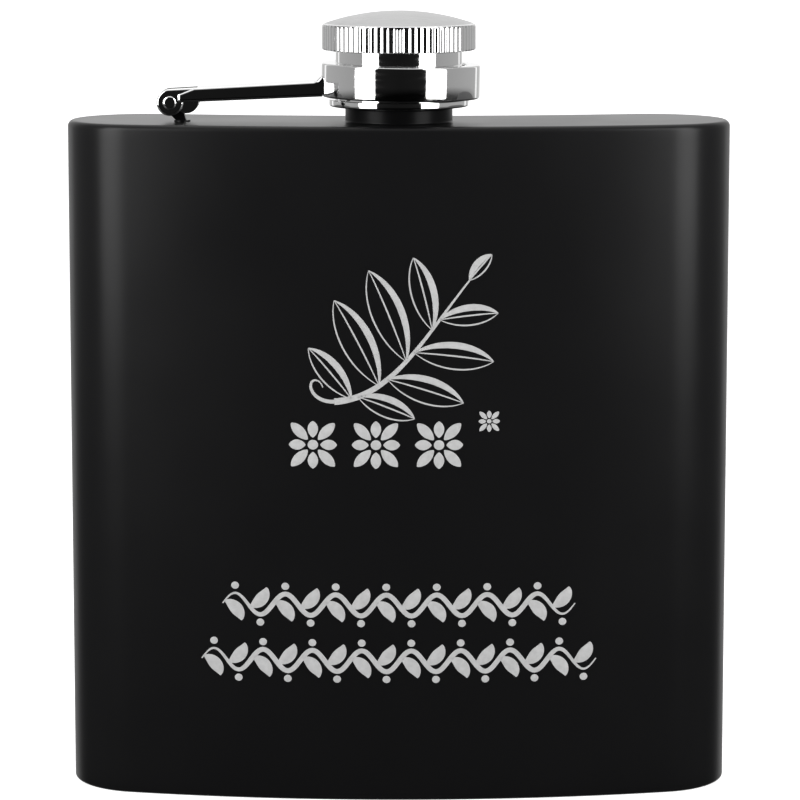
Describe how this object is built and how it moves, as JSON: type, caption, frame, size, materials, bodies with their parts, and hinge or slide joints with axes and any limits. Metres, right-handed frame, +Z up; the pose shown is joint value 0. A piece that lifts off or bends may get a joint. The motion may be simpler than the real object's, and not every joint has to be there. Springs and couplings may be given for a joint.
{
  "type": "hip flask",
  "caption": "Curved pocket flask with a knurled screw cap held by a captive ring on a hinged arm.",
  "frame": {"origin": "on the floor under the flask, at the middle of its width and depth", "axes": "+Z up along the neck, +X to the right across the width, -Y out of the convex front"},
  "size_m": [0.094, 0.0262, 0.1108],
  "materials": {
    "powder_coat": "fine matte black powder coat over steel",
    "polished_steel": "mirror polished plated metal",
    "satin_steel": "bare brushed stainless steel",
    "seal_rubber": "smooth translucent white food-grade silicone"
  },
  "bodies": {
    "root": {"body_shell": "powder_coat", "shoulder_plate": "powder_coat", "base_plate": "powder_coat", "neck_spout": "satin_steel", "hinge_lug": "powder_coat"},
    "arm": {"swing_arm": "polished_steel", "captive_ring": "polished_steel", "hinge_pin": "polished_steel"},
    "cap": {"cap_head": "polished_steel", "cap_sleeve": "polished_steel", "cap_retainer": "polished_steel", "cap_seal": "seal_rubber"}
  },
  "joints": [
    {"name": "arm_swing", "type": "hinge", "parent": "root", "child": "arm", "pos_m": [-0.0321, -0.0019, 0.09805], "axis": [0, -1, 0], "range_deg": [0, 180]},
    {"name": "cap_turn", "type": "hinge", "parent": "arm", "child": "cap", "pos_m": [0, -0.0019, 0.1018], "axis": [0, 0, 1], "continuous": true}
  ]
}
